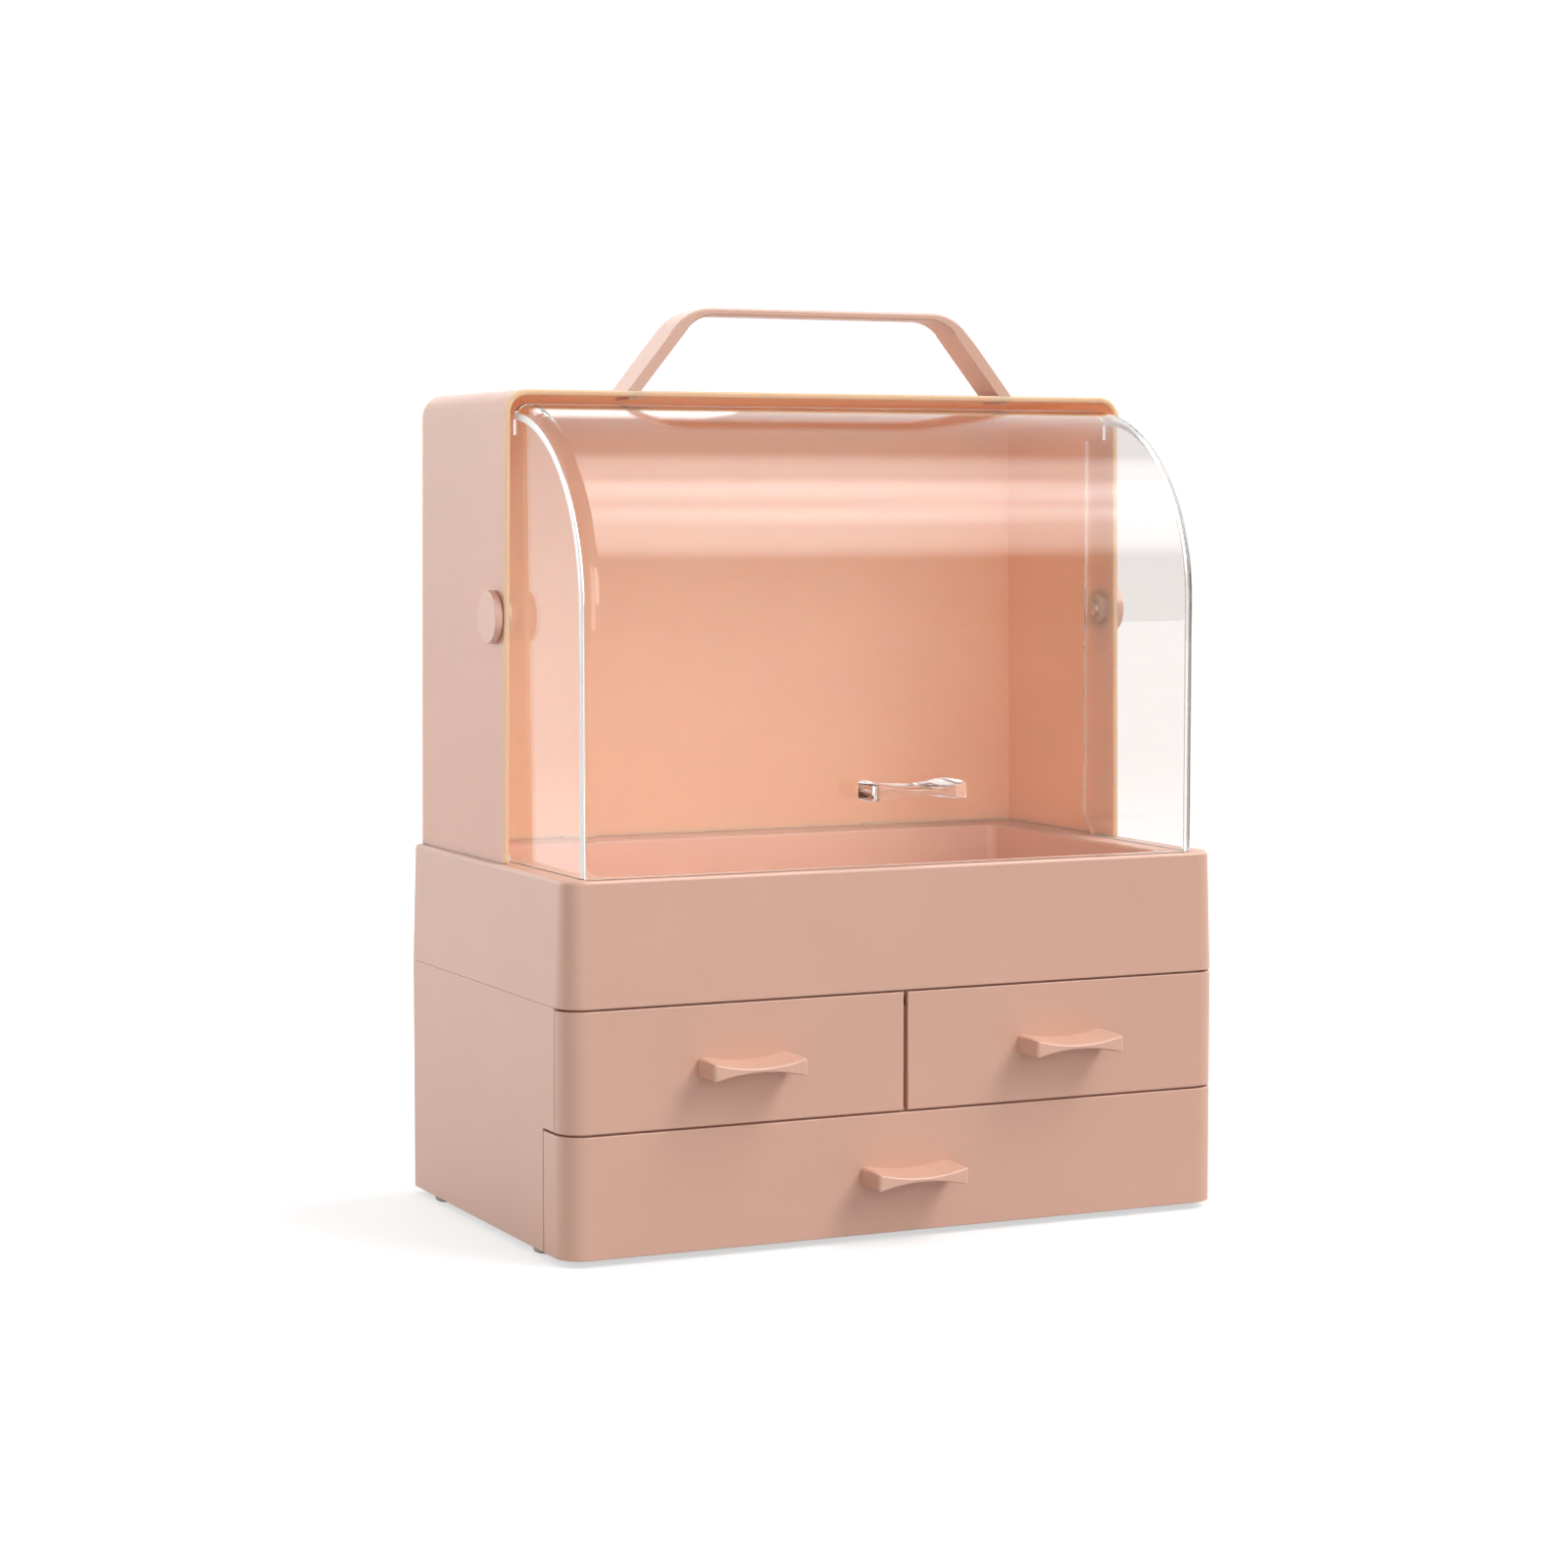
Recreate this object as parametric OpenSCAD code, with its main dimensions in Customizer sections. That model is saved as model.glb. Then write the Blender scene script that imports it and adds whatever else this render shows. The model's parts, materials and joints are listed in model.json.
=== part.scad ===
// Dustproof makeup organizer: a drawer cabinet with an open tray on top, a hood
// over the back of the tray and a clear visor that swings up into the hood.
// Millimetres. X to the right, Y to the back, Z up. The origin is at the middle
// of the whole footprint, pulls included, on the surface that it stands on.

/* [Cabinet] */
// Width of the cabinet and of the tray
cabinet_w = 274; // [230:1:320]
// Depth of the cabinet and of the tray, without the pulls
cabinet_d = 164; // [150:1:200]
// Height of the lower drawer row
lower_row_h = 45.4; // [36:0.1:70]
// Height of the upper drawer row
upper_row_h = 45.7; // [36:0.1:70]
// Thickness of the cabinet's walls, floor and top
wall = 2.4; // [1.8:0.1:3.5]
// Radius of the upright front corners
front_r = 10; // [6:0.5:14]
// Radius of the upright back corners
back_r = 2.5; // [2:0.5:6]
// Thickness of the shelf between the drawer rows
shelf_t = 2; // [1.4:0.1:3]
// Thickness of the upright partition between the upper drawers
partition_t = 1.2; // [0.8:0.1:1.4]

/* [Drawers] */
// Thickness of the drawer fronts
front_t = 2.4; // [1.8:0.1:3.5]
// Wall and floor thickness of the drawer boxes
box_t = 1.8; // [1.2:0.1:2.6]
// Length of the lower front's return along each side
return_d = 21.4; // [16:0.1:40]
// Open seam between the two upper fronts
centre_gap = 1.7; // [1.5:0.1:3]
// Open seam between the drawer rows, and above the upper fronts
row_gap = 0.8; // [0.4:0.1:1.6]
// Side clearance of a drawer box in its bay
slide_gap = 0.4; // [0.2:0.05:1]
// Clearance between a drawer's floor and what it slides on
floor_gap = 0.2; // [0.1:0.05:0.6]
// Height from a box's upper edge to the panel above it
head_room = 4; // [3:0.5:8]
// Gap behind the drawer boxes
back_gap = 3; // [1:0.5:10]

/* [Pulls] */
// How far the pulls stand out
pull_reach = 15.5; // [10:0.5:22]
// Length of a pull
pull_l = 37.7; // [28:0.1:50]
// Height of a pull at its ends
pull_h = 7.3; // [5:0.1:10]
// Thickness of a pull's waist at its outer edge
waist_front = 1.9; // [1.4:0.1:3]
// Thickness of a pull's waist at its root
waist_back = 4.4; // [3.4:0.1:4.8]
// Distance from the centre to an upper drawer's pull
upper_pull_x = 66.3; // [40:0.1:80]
// Height of the lower pull above the cabinet's underside
lower_pull_z = 22; // [14:0.5:30]
// Height of the upper pulls above the drawer seam
upper_pull_z = 22; // [14:0.5:30]
// Height of the visor's pull above the tray
visor_pull_z = 28.8; // [16:0.1:60]
// Diameter of the pegs that fix a pull
peg_d = 4; // [3:0.1:5]
// Distance between a pull's two pegs
peg_spacing = 22; // [14:0.5:26]

/* [Tray] */
// Height of the tray
tray_h = 46.2; // [34:0.1:70]
// How far the tray's walls lean in over their height
tray_lean = 1.3; // [0.4:0.1:2]
// Wall, rim and floor thickness of the tray
tray_t = 2.2; // [1.6:0.1:3]
// Width of the rim at each side
rim_side = 22; // [18:0.5:30]
// Width of the rim at the front
rim_front = 12.8; // [10:0.1:18]
// Width of the rim at the back
rim_back = 19.5; // [14:0.5:30]
// Radius of the well's upright corners
well_r = 4; // [3:0.5:12]
// Height of the well's floor above the cabinet
well_lift = 4; // [3:0.5:12]

/* [Hood] */
// Height of the hood above the tray
hood_h = 176.8; // [150:0.1:220]
// Depth of the hood
hood_d = 92.1; // [70:0.1:110]
// How far the hood's foot stands inside the tray's lower edge, at each side
hood_inset = 3.9; // [3.2:0.1:6]
// How far the hood's back stands inside the cabinet's back
hood_back_inset = 2; // [1.6:0.1:6]
// How far the hood's side walls lean in over their height
hood_lean = 1.6; // [0.4:0.1:3]
// Wall thickness of the hood
hood_t = 2.2; // [1.6:0.1:3]
// Outer radius of the hood's upper corners
hood_r = 9; // [5:0.5:14]
// Radius of the hood's back edges
hood_back_r = 2.4; // [1:0.1:5]

/* [Visor] */
// Thickness of the clear visor
visor_t = 2.2; // [1.6:0.1:3]
// How far the visor stands behind the tray's lower front edge
visor_inset = 2.5; // [2:0.1:6]
// Outer radius of the visor's upright front edges
visor_r = 6; // [4:0.5:10]
// How much smaller the visor's curve is than the swing of its flat front
curve_in = 4.1; // [3:0.1:6]
// How far the curve's middle lies above the pivots
curve_up = 5.5; // [4:0.1:7]
// Clearance between the visor's swing and the hood's back wall
visor_clear = 0.8; // [0.6:0.1:2]
// Clearance between the visor's swing and the hood's roof
roof_clear = 1.44; // [1:0.02:5]
// How far the visor's top reaches under the hood's roof
roof_lap = 2.8; // [1.5:0.1:4]
// Clearance between the visor's lower edge and the tray's rim
rim_clear = 0.3; // [0.2:0.05:0.6]
// Clearance between the visor's sides and the pivot bosses
side_clear = 0.3; // [0.2:0.05:0.6]
// How far the visor's side walls reach behind the pivot
side_back = 6.2; // [5:0.1:12]

/* [Pivots] */
// Diameter of the round buttons outside the hood
button_d = 20; // [14:0.5:24]
// How far the buttons stand out from the hood's side
button_h = 3.2; // [2:0.1:5]
// Diameter of the pivot shafts
shaft_d = 6; // [4:0.5:8]
// Diameter of the bosses inside the hood
boss_d = 12; // [10:0.5:16]
// Distance between each hood side and the visor, at the pivot
boss_l = 2.6; // [1.6:0.1:3]

/* [Handle] */
// Height of the handle above the hood's roof
handle_h = 31.6; // [24:0.1:45]
// Distance between the handle's feet, measured outside
handle_span = 164; // [120:1:190]
// Length of the handle's straight top bar, corner to corner
handle_top = 113; // [70:1:118]
// Width of the handle's band
band_w = 16.5; // [12:0.5:24]
// Thickness of the band along the top bar
band_t = 2.6; // [2.2:0.1:4]
// Thickness of the band at the feet, measured along X
band_foot_t = 5.4; // [4.4:0.1:7]
// How far the band stands behind the hood's front edge
band_back = 0.6; // [0.4:0.1:5]

/* [Feet and fasteners] */
// Diameter of the rubber feet
foot_d = 14; // [10:0.5:18]
// Height of the rubber feet
foot_h = 2.6; // [1.5:0.1:5]
// Distance from the cabinet's sides to the feet's middles
foot_side = 8.8; // [8:0.1:20]
// Distance from the cabinet's back to the back feet's middles
foot_back = 22; // [14:0.5:40]
// Distance from the cabinet's front to the front feet's middles
foot_front = 35; // [30:0.5:60]
// Thread diameter of the tray's screws
screw_d = 3; // [2.5:0.1:4]

/* [Hidden] */
$fn = 96;
eps = 0.01;
fit = 0.05;
overcut = 5;

half_w = cabinet_w / 2;
front_y = -(cabinet_d - pull_reach) / 2;
back_y = front_y + cabinet_d;
base_z = foot_h;
seam_z = base_z + lower_row_h;
top_z = seam_z + upper_row_h;
rim_z = top_z + tray_h;
roof_z = rim_z + hood_h;

bay_half = half_w - wall;
box_half = bay_half - slide_gap;
inner_back_y = back_y - wall;
box_back_y = inner_back_y - back_gap;
return_y = front_y + return_d;
shelf_low = seam_z - shelf_t / 2;
shelf_high = seam_z + shelf_t / 2;
ceiling_z = top_z - wall;
panel_y = front_y + front_t + slide_gap;
inner_r = front_r - front_t;

hood_half = half_w - hood_inset;
hood_back_y = back_y - hood_back_inset;
hood_front_y = hood_back_y - hood_d;
hood_in_back_y = hood_back_y - hood_t;
hood_in_roof_z = roof_z - hood_t;

visor_y = front_y + visor_inset;
swing_r = (hood_in_back_y - visor_clear - visor_y) / 2;
visor_out_r = swing_r - curve_in;
pivot_y = visor_y + swing_r;
curve_y = pivot_y - curve_in;
far_r = visor_out_r + sqrt(pow(curve_in, 2) + pow(curve_up, 2));
pivot_z = hood_in_roof_z - roof_clear - far_r;
curve_z = pivot_z + curve_up;
visor_foot_z = rim_z + rim_clear;
hood_in_half = hood_half - hood_t - hood_lean * (pivot_z - rim_z) / hood_h;
boss_x = hood_in_half - boss_l;
visor_half = boss_x - side_clear;
plate_r = visor_out_r - visor_r - 2;
flange_d = visor_r + 6;
button_gap = fit + hood_lean * button_d / 2 / hood_h;

well_half = half_w - rim_side;
well_front_y = front_y + rim_front;
well_back_y = back_y - rim_back;
well_floor_z = top_z + well_lift;
screw_x = well_half - 12;
screw_y_front = well_front_y + 14;
screw_y_back = well_back_y - 14;

tab_w = 12;
tab_t = 1.4;
tab_drop = 5;
tab_hook = 0.8;
tab_side_x = min(hood_half - hood_t, half_w - tray_t - tray_lean - tab_t - tab_hook - 0.2);
tab_back_y = min(hood_in_back_y + tab_t, back_y - tray_t - tray_lean - 0.2);
tab_ys = [hood_front_y + 20, hood_back_y - 20];
tab_xs = [-hood_half / 2, hood_half / 2];

handle_y = hood_front_y + band_back + band_w / 2;
barb_drop = roof_clear - 0.4;
barb_out = 0.8;
neck_t = 3;
foot_x = handle_span / 2 - band_foot_t / 2;

peach = [0.86, 0.68, 0.60];
peach_light = [0.90, 0.74, 0.66];
clear = [0.93, 0.94, 0.94, 0.45];
rubber = [0.80, 0.78, 0.76];
steel = [0.70, 0.71, 0.73];

// The sharp tip that a rounding of radius r takes off a square corner, which
// lies at the origin with its material towards +X and +Y.
module corner_tip(r) {
    difference() {
        translate([-1, -1]) square([r + 1, r + 1]);
        translate([r, r]) circle(r);
    }
}

// Rectangle with one radius at its two front corners and one at its back corners.
module plan(half, y0, y1, r0, r1) {
    difference() {
        translate([-half, y0]) square([2 * half, y1 - y0]);
        for (side = [0, 1]) mirror([side, 0]) {
            if (r0 > 0) translate([-half, y0]) corner_tip(r0);
            if (r1 > 0) translate([-half, y1]) mirror([0, 1]) corner_tip(r1);
        }
    }
}

module slab(half, y0, y1, r0, r1, z0, z1) {
    translate([0, 0, z0]) linear_extrude(z1 - z0) plan(half, y0, y1, r0, r1);
}

module block(x0, x1, y0, y1, z0, z1) {
    translate([x0, y0, z0]) cube([x1 - x0, y1 - y0, z1 - z0]);
}

// Rod along X from x0 to x1.
module rod_x(d, x0, x1, y, z) {
    translate([x0, y, z]) rotate([0, 90, 0]) cylinder(d = d, h = x1 - x0);
}

// Rod along Y from y0 to y1.
module rod_y(d, x, y0, y1, z) {
    translate([x, y1, z]) rotate([90, 0, 0]) cylinder(d = d, h = y1 - y0);
}

// Outline in X and Z, drawn from y0 back to y1.
module along_y(y0, y1) {
    translate([0, y1, 0]) rotate([90, 0, 0]) linear_extrude(y1 - y0) children();
}

// Outline in Y and Z, drawn from x0 to x1.
module along_x(x0, x1) {
    translate([x0, 0, 0]) rotate([90, 0, 90]) linear_extrude(x1 - x0) children();
}

// Block whose four walls lean in by lean over its height, with cone corners.
module leaning_block(half, y0, y1, r0, r1, z0, h, lean) {
    along_y(y0 + r0, y1 - r1)
        polygon([[-half, z0], [half, z0], [half - lean, z0 + h], [-half + lean, z0 + h]]);
    along_x(-half + r0, half - r0)
        polygon([[y0, z0], [y0 + r0, z0], [y0 + r0, z0 + h], [y0 + lean, z0 + h]]);
    along_x(-half + r1, half - r1)
        polygon([[y1 - r1, z0], [y1, z0], [y1 - lean, z0 + h], [y1 - r1, z0 + h]]);
    for (side = [-1, 1]) {
        translate([side * (half - r0), y0 + r0, z0])
            cylinder(r1 = r0, r2 = r0 - lean, h = h);
        translate([side * (half - r1), y1 - r1, z0])
            cylinder(r1 = r1, r2 = r1 - lean, h = h);
    }
}

// Pull: a ledge with square ends and a thin waist, on two pegs that run into
// what carries it. Its root lies at Y = 0 and it points towards -Y.
module pull(peg_l) {
    sag_front = (pull_h - waist_front) / 2;
    waist_r = (pow(pull_l / 2, 2) + pow(sag_front, 2)) / (2 * sag_front);
    tilt = atan((waist_back - waist_front) / 2 / pull_reach);
    end_r = 1.6;
    difference() {
        intersection() {
            along_y(-pull_reach, 0) difference() {
                square([pull_l, pull_h], center = true);
                for (a = [0, 1], b = [0, 1]) mirror([a, 0]) mirror([0, b])
                    translate([-pull_l / 2, -pull_h / 2]) corner_tip(end_r);
            }
            slab(pull_l / 2, -pull_reach, overcut, end_r, 0, -pull_h, pull_h);
        }
        for (face = [0, 1]) mirror([0, 0, face])
            translate([0, -pull_reach, waist_front / 2 + waist_r])
                rotate([tilt, 0, 0])
                    rod_y(2 * waist_r, 0, -pull_reach, 2 * pull_reach, 0);
    }
    if (peg_l > 0) for (side = [-1, 1]) {
        rod_y(peg_d, side * peg_spacing / 2, -overcut, peg_l, 0);
        rod_y(peg_d + 2, side * peg_spacing / 2, peg_l, peg_l + 1, 0);
    }
}

module peg_holes(x, z) {
    for (side = [-1, 1])
        rod_y(peg_d + 2 * fit, x + side * peg_spacing / 2, front_y - 1, front_y + front_t + 1, z);
}

module cabinet_shell() {
    color(peach) difference() {
        slab(half_w, front_y, back_y, front_r, back_r, base_z, top_z);
        // Lower bay, with its floor and sides running forward to the drawer front
        block(-bay_half, bay_half, front_y - 1, inner_back_y, base_z + wall, shelf_low);
        // Upper bay
        block(-bay_half, bay_half, front_y - 1, inner_back_y, shelf_high, ceiling_z);
        // Slot for the shelf
        block(-bay_half - 1, bay_half + 1, front_y - 1, inner_back_y, shelf_low - eps, shelf_high + eps);
        // Room for the lower drawer's front and its returns
        difference() {
            block(-half_w - 1, half_w + 1, front_y - 1, return_y, base_z - 1, seam_z + row_gap / 2);
            slab(box_half - slide_gap, panel_y, back_y, inner_r, 0, base_z - 2, base_z + wall);
        }
        // Room for the upper drawers' fronts
        difference() {
            block(-half_w - 1, half_w + 1, front_y - 1, front_y + front_r, seam_z - 1, top_z + 1);
            slab(box_half - slide_gap, panel_y, back_y, inner_r, 0, ceiling_z, top_z + 2);
        }
        for (x = [-1, 1], y = [screw_y_front, screw_y_back])
            translate([x * screw_x, y, ceiling_z - 1]) cylinder(d = screw_d + 0.4, h = wall + 2);
        for (x = [-1, 1], y = [front_y + foot_front, back_y - foot_back])
            translate([x * (half_w - foot_side), y, base_z - 1]) cylinder(d = foot_d / 3, h = wall / 2 + 1);
    }
}

module drawer_shelf() {
    color(peach) difference() {
        union() {
            block(-bay_half - 1 + fit, bay_half + 1 - fit, return_y + slide_gap, inner_back_y - fit,
                  shelf_low, shelf_high);
            slab(box_half - slide_gap, panel_y, return_y + 1, inner_r, 0, shelf_low, shelf_high);
        }
        // Groove that holds the partition's lower edge
        block(-partition_t / 2 - fit, partition_t / 2 + fit, panel_y + 2, back_y,
              shelf_high - shelf_t / 3, shelf_high + 1);
    }
}

module centre_partition() {
    color(peach) block(-partition_t / 2, partition_t / 2, panel_y + 2 + fit, inner_back_y - fit,
                       shelf_high - shelf_t / 3, ceiling_z);
}

module tray() {
    color(peach) difference() {
        union() {
            difference() {
                leaning_block(half_w, front_y, back_y, front_r, back_r, top_z, tray_h, tray_lean);
                // Hollow under the rim, around the well
                difference() {
                    translate([0, 0, -tray_t])
                        leaning_block(half_w - tray_t, front_y + tray_t, back_y - tray_t,
                                      front_r - tray_t, 2, top_z, tray_h, tray_lean);
                    slab(well_half + tray_t, well_front_y - tray_t, well_back_y + tray_t,
                         well_r + tray_t, well_r + tray_t, well_floor_z - tray_t, rim_z);
                }
            }
            for (x = [-1, 1], y = [screw_y_front, screw_y_back])
                translate([x * screw_x, y, top_z]) cylinder(d = screw_d + 5, h = well_lift - tray_t + eps);
        }
        // The well
        slab(well_half, well_front_y, well_back_y, well_r, well_r, well_floor_z, rim_z + 1);
        // Slots for the hood's snap tabs
        for (side = [0, 1], y = tab_ys) mirror([side, 0, 0])
            block(tab_side_x - fit, tab_side_x + tab_t + 0.2,
                  y - tab_w / 2 - 0.2, y + tab_w / 2 + 0.2, rim_z - tray_t - 1, rim_z + 1);
        for (x = tab_xs)
            block(x - tab_w / 2 - 0.2, x + tab_w / 2 + 0.2, tab_back_y - tab_t - 0.2,
                  tab_back_y + fit, rim_z - tray_t - 1, rim_z + 1);
        for (x = [-1, 1], y = [screw_y_front, screw_y_back])
            translate([x * screw_x, y, top_z - 1]) cylinder(d = screw_d, h = well_lift - tray_t + 2);
    }
}

module hood_outline(half, z0, z1, r) {
    // Front view, with leaning sides and rounded upper corners
    lean = hood_lean * (z1 - z0) / hood_h;
    corner_x = half - lean - r;
    tilt = atan(lean / (z1 - z0));
    polygon([[-half, z0], [half, z0],
             [corner_x + r * cos(tilt), z1 - r + r * sin(tilt)],
             [corner_x, z1 - r], [corner_x, z1], [-corner_x, z1], [-corner_x, z1 - r],
             [-corner_x - r * cos(tilt), z1 - r + r * sin(tilt)]]);
    for (side = [-1, 1]) translate([side * corner_x, z1 - r]) circle(r);
}

// One snap tab, which hangs below the hood's foot and hooks under the rim.
// Its outer face lies at X = 0.
module snap_tab() {
    rotate([90, 0, 0]) translate([0, 0, -tab_w / 2]) linear_extrude(tab_w)
        polygon([[0, 1], [0, -tab_drop], [0.5, -tab_drop], [tab_t + tab_hook, -tray_t - 1.4],
                 [tab_t + tab_hook, -tray_t - 0.1], [tab_t, -tray_t - 0.1], [tab_t, 1]]);
}

module hood() {
    color(peach) difference() {
        union() {
            difference() {
                intersection() {
                    along_y(hood_front_y, hood_back_y)
                        hood_outline(hood_half, rim_z, roof_z, hood_r);
                    slab(hood_half + 1, hood_front_y, hood_back_y + eps, 0, hood_back_r + 1, rim_z, roof_z);
                    along_x(-hood_half, hood_half) difference() {
                        translate([hood_front_y, rim_z]) square([hood_d, hood_h]);
                        translate([hood_back_y, roof_z]) rotate(180) corner_tip(hood_back_r);
                    }
                }
                along_y(hood_front_y - 1, hood_in_back_y)
                    hood_outline(hood_half - hood_t, rim_z - eps, hood_in_roof_z, hood_r - hood_t);
            }
            for (side = [0, 1]) mirror([side, 0, 0]) {
                // Boss that spaces the visor from the hood's side
                rod_x(boss_d, boss_x, hood_in_half + hood_t / 2, pivot_y, pivot_z);
                // Low rib that the visor's side rests against
                block(boss_x + 1, hood_in_half + hood_t / 2, pivot_y - 3.5, pivot_y + 2.5,
                      pivot_z - 17, pivot_z - 15.4);
                for (y = tab_ys) translate([tab_side_x, y, rim_z]) snap_tab();
            }
            for (x = tab_xs) translate([x, tab_back_y, rim_z])
                rotate([0, 0, -90]) snap_tab();
        }
        for (side = [0, 1]) mirror([side, 0, 0]) {
            rod_x(shaft_d, boss_x - 1, half_w, pivot_y, pivot_z);
            // Slot for the handle's foot
            block(foot_x - neck_t / 2 - barb_out, foot_x + neck_t / 2 + fit,
                  handle_y - band_w / 2 + 2, handle_y + band_w / 2 - 2,
                  hood_in_roof_z - 1, roof_z + 1);
        }
    }
}

// Cross-section of the visor's curved wall: radius along X, width along Y.
module visor_section(reach) {
    difference() {
        translate([visor_out_r - reach, -visor_half]) square([reach, 2 * visor_half]);
        translate([visor_out_r - reach - 1, -visor_half + visor_t])
            square([reach + 1 - visor_t - (visor_r - visor_t), 2 * (visor_half - visor_t)]);
        translate([visor_out_r - visor_r - eps, -visor_half + visor_r])
            square([visor_r - visor_t + eps, 2 * (visor_half - visor_r)]);
        for (side = [0, 1]) mirror([0, side]) {
            translate([visor_out_r, -visor_half]) rotate(90) corner_tip(visor_r);
            translate([visor_out_r - visor_r, -visor_half + visor_r]) circle(visor_r - visor_t);
        }
    }
}

module visor() {
    color(clear) difference() {
        union() {
            // The curved upper part runs from the front up under the hood's roof
            translate([0, curve_y, curve_z]) rotate([0, 90, 0]) rotate([0, 0, 180])
                rotate_extrude(angle = 90, start = 0) visor_section(flange_d);
            // The flat front below it
            translate([0, curve_y, visor_foot_z]) rotate([0, 0, -90])
                linear_extrude(curve_z - visor_foot_z) visor_section(flange_d);
            // Flat side walls
            for (side = [0, 1]) mirror([side, 0, 0])
                along_x(visor_half - visor_t, visor_half) side_plate();
        }
        // The top ends just under the roof, so that it clears the back wall when it is open
        block(-half_w, half_w, hood_front_y + roof_lap, hood_back_y,
              curve_z + visor_out_r - flange_d, roof_z);
        rod_x(shaft_d + 2 * fit, -half_w, half_w, pivot_y, pivot_z);
    }
}

// Outline of a side wall in Y and Z.
module side_plate() {
    foot = 8;
    back = pivot_y + side_back;
    intersection() {
        translate([curve_y, curve_z]) circle(plate_r);
        translate([curve_y - plate_r, curve_z - eps]) square([plate_r + back - curve_y, plate_r + 1]);
    }
    polygon([[curve_y - plate_r, visor_foot_z], [pivot_y - 1, visor_foot_z],
             [back, visor_foot_z + foot], [back, curve_z], [curve_y - plate_r, curve_z]]);
}

module visor_pull() {
    color(clear) translate([0, visor_y - fit, rim_z + visor_pull_z]) pull(0);
}

module pivot_button() {
    face_x = hood_in_half + hood_t + button_gap;
    color(peach_light) {
        rod_x(shaft_d, visor_half - visor_t, face_x + 1, pivot_y, pivot_z);
        rod_x(button_d, face_x, hood_in_half + hood_t + button_h, pivot_y, pivot_z);
    }
}

module pivot_button_left() { mirror([1, 0, 0]) pivot_button(); }
module pivot_button_right() { pivot_button(); }

// Everything under one face of the handle's band, in X and Z: sloping legs from
// the roof up to a flat bar, with rounded bends.
module under_band(bar_x, bar_z, leg_x, r, end_z) {
    slope = atan((bar_z - roof_z) / (leg_x - bar_x));
    reach = r / tan((180 - slope) / 2);
    difference() {
        polygon([[-leg_x, end_z], [leg_x, end_z], [leg_x, roof_z], [bar_x, bar_z],
                 [-bar_x, bar_z], [-leg_x, roof_z]]);
        for (side = [0, 1]) mirror([side, 0]) difference() {
            polygon([[bar_x - reach, bar_z], [bar_x - reach, bar_z + 1], [bar_x + reach, bar_z + 1],
                     [bar_x + reach * cos(slope), bar_z - reach * sin(slope)],
                     [bar_x - reach, bar_z - r]]);
            translate([bar_x - reach, bar_z - r]) circle(r + eps);
        }
    }
}

module carry_handle() {
    bar_z = roof_z + handle_h;
    bend_r = 20;
    bend_in = 3.6;
    color(peach_light) {
        along_y(handle_y - band_w / 2, handle_y + band_w / 2) difference() {
            under_band(handle_top / 2, bar_z, handle_span / 2, bend_r, roof_z);
            under_band(handle_top / 2 - bend_in, bar_z - band_t,
                       handle_span / 2 - band_foot_t, bend_r - 4, roof_z - 1);
        }
        // Feet: a neck through the roof's slot, with a barb under it
        for (side = [0, 1]) mirror([side, 0, 0])
            along_y(handle_y - band_w / 2 + 2 + fit, handle_y + band_w / 2 - 2 - fit)
                polygon([[foot_x - neck_t / 2, roof_z + eps], [foot_x - neck_t / 2, hood_in_roof_z - 0.1],
                         [foot_x - neck_t / 2 - barb_out, hood_in_roof_z - 0.1],
                         [foot_x - neck_t / 2, hood_in_roof_z - barb_drop],
                         [foot_x + neck_t / 2, hood_in_roof_z - barb_drop],
                         [foot_x + neck_t / 2, roof_z + eps]]);
    }
}

module lower_drawer() {
    floor_z = base_z + wall + floor_gap;
    box_top_z = shelf_low - head_room;
    front_top_z = seam_z - row_gap / 2;
    return_half = half_w - wall - slide_gap / 2;
    color(peach) difference() {
        union() {
            slab(half_w, front_y, return_y - slide_gap, front_r, 0, base_z, front_top_z);
            block(-box_half, box_half, return_y - 2, box_back_y, floor_z, box_top_z);
        }
        // The bin
        slab(box_half - box_t, front_y + front_t, box_back_y - box_t, inner_r - box_t, 1,
             floor_z + box_t, box_top_z + eps);
        slab(return_half, front_y + front_t, return_y, inner_r, 0, box_top_z, seam_z);
        // Room for the cabinet's floor
        slab(return_half, front_y + front_t, return_y, inner_r, 0, base_z - 1, floor_z);
        peg_holes(0, base_z + lower_pull_z);
    }
}

module upper_drawer() {
    floor_z = shelf_high + floor_gap;
    box_top_z = ceiling_z - head_room;
    front_low_z = seam_z + row_gap / 2;
    front_top_z = top_z - row_gap;
    inner_x = partition_t / 2 + slide_gap;
    pull_z = seam_z + upper_pull_z;
    color(peach) difference() {
        union() {
            intersection() {
                slab(half_w, front_y, front_y + front_r - 0.2, front_r, 0, front_low_z, front_top_z);
                block(centre_gap / 2, half_w, front_y, back_y, front_low_z, front_top_z);
            }
            intersection() {
                slab(box_half, front_y + front_t / 2, box_back_y, inner_r, 0, floor_z, box_top_z);
                block(inner_x, half_w, front_y + front_t / 2, back_y, floor_z, box_top_z);
            }
        }
        // The bin
        intersection() {
            slab(box_half - box_t, front_y + front_t, box_back_y - box_t, inner_r - box_t, 1,
                 floor_z + box_t, box_top_z + eps);
            block(inner_x + box_t, half_w, front_y, back_y, floor_z, top_z);
        }
        slab(box_half, front_y + front_t, back_y, inner_r, 0, box_top_z, top_z);
        slab(box_half, front_y + front_t, back_y, inner_r, 0, base_z, floor_z);
        peg_holes(upper_pull_x, pull_z);
    }
}

module right_drawer() { upper_drawer(); }
module left_drawer() { mirror([1, 0, 0]) upper_drawer(); }

module drawer_pull(x, z) {
    color(peach_light) translate([x, front_y, z]) pull(front_t);
}

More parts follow.
